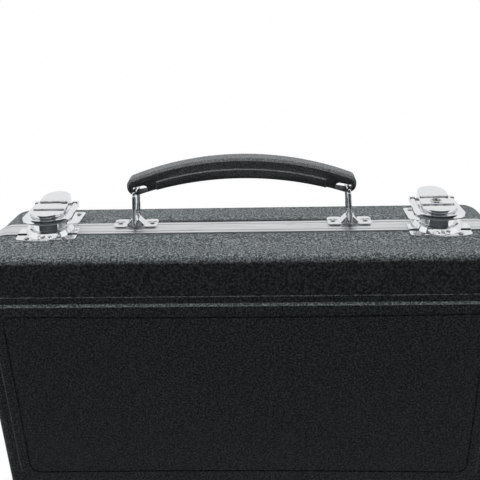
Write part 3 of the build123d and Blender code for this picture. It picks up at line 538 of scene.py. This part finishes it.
class CASE_OT_hinges(bpy.types.Operator):
    """Finish the hinges and all the rivets"""
    bl_idname = "case.hinges"
    bl_label = "Hinges and Rivets"

    def execute(self, context):
        shape = context.scene.case_shape
        steel = satin_finish("hinge_satin", context.scene.case_finish)
        for side in SIDES:
            for part in ("base_hinge_leaf", "lid_hinge_leaf"):
                rounded(f"{part}_{side}", shape.plate_edge, steel)
            painted(NODES[f"hinge_pin_{side}"], steel)
            smoothed(NODES[f"hinge_pin_{side}"])
        rivets = satin_finish("rivet_satin", context.scene.case_finish)
        for group in ("lid_latch", "base_latch", "lid_hinge", "base_hinge", "handle"):
            rounded(f"{group}_rivets", shape.rivet_edge, rivets)
        return {"FINISHED"}


class CASE_OT_insert(bpy.types.Operator):
    """Pad the insert with its wells and cover it in plush"""
    bl_idname = "case.insert"
    bl_label = "Insert"

    def execute(self, context):
        shape = context.scene.case_shape
        low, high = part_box("base_insert")
        insert = remeshed("base_insert", "insert_plush", shape.insert_voxel, shape.insert_shrink)
        plump(insert, shape.pressure, shape.insert_swell)
        within(subdivided(insert), low.z, high.z)
        painted(insert, plush_finish("insert_pile", context.scene.case_finish))
        stands_for(insert, "base_insert")
        return {"FINISHED"}


class CASE_OT_lining(bpy.types.Operator):
    """Pad the lid's lining with its sewn channels"""
    bl_idname = "case.lining"
    bl_label = "Lining"

    def execute(self, context):
        shape = context.scene.case_shape
        low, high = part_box("lid_lining")
        middle = (low + high) / 2
        lining = remeshed("lid_lining", "lining_plush", shape.lining_voxel, shape.lining_shrink)
        band = shape.channel * SEAM_SHARE
        held = []
        for vertex in lining.data.vertices:
            steps = ((vertex.co.x + vertex.co.y - middle.x) / shape.channel,
                     (vertex.co.x - vertex.co.y - middle.x) / shape.channel)
            if min(abs(step - round(step)) for step in steps) * shape.channel < band:
                held.append(vertex.index)
        seams = lining.vertex_groups.new(name="seams")
        seams.add(held, 1.0, "REPLACE")
        plump(lining, shape.pressure, shape.lining_swell, "seams")
        within(subdivided(lining), low.z, high.z)
        painted(lining, plush_finish("lining_pile", context.scene.case_finish))
        stands_for(lining, "lid_lining")
        return {"FINISHED"}


class CASE_OT_studio(bpy.types.Operator):
    """Set up the floor, the soft lamps and the camera"""
    bl_idname = "case.studio"
    bl_label = "Studio"

    def execute(self, context):
        studio = context.scene.case_studio
        self.floor(studio)
        paint = Finish("card_paint", {"Roughness": 0.9, "Specular IOR Level": 0.1})
        paint.feed(base_color=paint.blend(paint.noise(0.09, 2.0), scaled(studio.card, 0.5),
                                          scaled(studio.card, 1.6)))
        for name, low, high in CARDS:
            self.card(name, low, high, paint.material)
        for name, place, target, size, power in LAMPS:
            self.lamp(name, place, target, size, getattr(studio, power))
        self.sky(studio)
        self.camera(context, studio)
        return {"FINISHED"}

    def floor(self, studio):
        """Pale floor that stays white behind the case and keeps its shadow."""
        bpy.ops.object.select_all(action="DESELECT")
        bpy.ops.mesh.primitive_plane_add(size=FLOOR_SIZE, location=(0.0, 0.0, 0.0))
        floor = bpy.context.object
        floor.name = "floor"
        paint = Finish("floor_paint", {"Roughness": 0.9, "Specular IOR Level": 0.1})
        mottle = paint.noise(0.4, 2.0)
        paint.feed(base_color=paint.blend(mottle, scaled(studio.floor, 0.985), studio.floor))
        seen = paint.node("ShaderNodeLightPath", {}, {}, "Is Camera Ray")
        mirrored = paint.node("ShaderNodeLightPath", {}, {}, "Is Glossy Ray")
        lit = Field(paint, paint.surface.outputs[0])
        glow = paint.node("ShaderNodeEmission", {},
                          {"Color": (1.0, 1.0, 1.0, 1.0), "Strength": FLOOR_GLOW})
        share = seen * CAMERA_SHARE + mirrored * MIRROR_SHARE
        cover = paint.node("ShaderNodeMixShader", {}, {0: share, 1: lit, 2: glow})
        paint.links.new(cover.socket, paint.output.inputs["Surface"])
        painted(floor, paint.material)

    def card(self, name, low, high, paint):
        """Dark card that only polished faces see."""
        bpy.ops.object.select_all(action="DESELECT")
        bpy.ops.mesh.primitive_plane_add(size=1.0, location=(0.0, 0.0, 0.0))
        card = bpy.context.object
        card.name = name
        near = ((low[0], low[1], low[2]), (high[0], low[1], low[2]))
        far = ((low[0], high[1], high[2]), (high[0], high[1], high[2]))
        for vertex, corner in zip(card.data.vertices, near + far):
            vertex.co = corner
        painted(card, paint)
        card.visible_camera = card.visible_diffuse = card.visible_shadow = False

    def lamp(self, name, place, target, size, power):
        """Soft lamp that no polished face mirrors."""
        light = bpy.data.lights.new(name, "AREA")
        light.shape = "RECTANGLE"
        light.size, light.size_y = size
        light.energy = power
        lamp = bpy.data.objects.new(name, light)
        lamp.location = place
        lamp.rotation_euler = (Vector(target) - Vector(place)).to_track_quat("-Z", "Y").to_euler()
        lamp.visible_glossy = False
        bpy.context.scene.collection.objects.link(lamp)

    def sky(self, studio):
        """Even light from all round, white where the camera or a polished face sees it."""
        world = bpy.data.worlds.new("studio")
        world.use_nodes = True
        nodes, links = world.node_tree.nodes, world.node_tree.links
        nodes.clear()
        output = nodes.new("ShaderNodeOutputWorld")
        lit = nodes.new("ShaderNodeBackground")
        lit.inputs["Strength"].default_value = studio.sky
        white = nodes.new("ShaderNodeBackground")
        white.inputs["Color"].default_value = (1.0, 1.0, 1.0, 1.0)
        path = nodes.new("ShaderNodeLightPath")
        mixed = nodes.new("ShaderNodeMixShader")
        seen = nodes.new("ShaderNodeMath")
        either = nodes.new("ShaderNodeMath")
        links.new(path.outputs["Is Camera Ray"], seen.inputs[0])
        links.new(path.outputs["Is Glossy Ray"], seen.inputs[1])
        links.new(seen.outputs[0], either.inputs[0])
        links.new(path.outputs["Is Transmission Ray"], either.inputs[1])
        links.new(either.outputs[0], mixed.inputs[0])
        links.new(lit.outputs[0], mixed.inputs[1])
        links.new(white.outputs[0], mixed.inputs[2])
        links.new(mixed.outputs[0], output.inputs["Surface"])
        bpy.context.scene.world = world

    def camera(self, context, studio):
        """Camera above the lid, with the latch side at the top of its picture."""
        yaw, pitch, roll = studio.yaw, studio.pitch, -studio.roll
        ahead = Vector((math.sin(yaw) * math.cos(pitch), math.sin(pitch),
                        -math.cos(yaw) * math.cos(pitch)))
        side = ahead.cross(Vector((0.0, -1.0, 0.0))).normalized()
        above = side.cross(ahead)
        right = math.cos(roll) * side + math.sin(roll) * above
        up = math.cos(roll) * above - math.sin(roll) * side
        data = bpy.data.cameras.new("camera")
        data.lens = studio.lens
        data.sensor_width = SENSOR_WIDTH
        data.clip_start = 0.01
        camera = bpy.data.objects.new("camera", data)
        turn = Matrix((right, up, -ahead)).transposed().to_4x4()
        camera.matrix_world = Matrix.Translation(Vector(studio.place)) @ turn
        context.scene.collection.objects.link(camera)
        context.scene.camera = camera
        context.scene.view_settings.view_transform = "Standard"


OPERATORS = (CASE_OT_shells, CASE_OT_rims, CASE_OT_latches, CASE_OT_handle, CASE_OT_hinges,
             CASE_OT_insert, CASE_OT_lining, CASE_OT_studio)
GROUPS = {"case_finish": CaseFinish, "case_shape": CaseShape, "case_studio": CaseStudio}


class CASE_PT_panel(bpy.types.Panel):
    """Lists the case's pieces and their values"""
    bl_idname = "CASE_PT_panel"
    bl_label = "Clarinet Case"
    bl_space_type = "VIEW_3D"
    bl_region_type = "UI"
    bl_category = "Case"

    def draw(self, context):
        layout = self.layout
        for operator in OPERATORS:
            layout.operator(operator.bl_idname)
        for name, group in GROUPS.items():
            box = layout.box()
            for key in group.__annotations__:
                box.prop(getattr(context.scene, name), key)


def register():
    for group in GROUPS.values():
        bpy.utils.register_class(group)
    for name, group in GROUPS.items():
        setattr(bpy.types.Scene, name, bpy.props.PointerProperty(type=group))
    for operator in OPERATORS:
        bpy.utils.register_class(operator)
    bpy.utils.register_class(CASE_PT_panel)


def unregister():
    bpy.utils.unregister_class(CASE_PT_panel)
    for operator in reversed(OPERATORS):
        bpy.utils.unregister_class(operator)
    for name in GROUPS:
        delattr(bpy.types.Scene, name)
    for group in reversed(tuple(GROUPS.values())):
        bpy.utils.unregister_class(group)


def main():
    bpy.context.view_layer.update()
    register()
    bpy.ops.case.shells()
    bpy.ops.case.rims()
    bpy.ops.case.latches()
    bpy.ops.case.handle()
    bpy.ops.case.hinges()
    bpy.ops.case.insert()
    bpy.ops.case.lining()
    bpy.ops.case.studio()


if __name__ == "__main__":
    main()
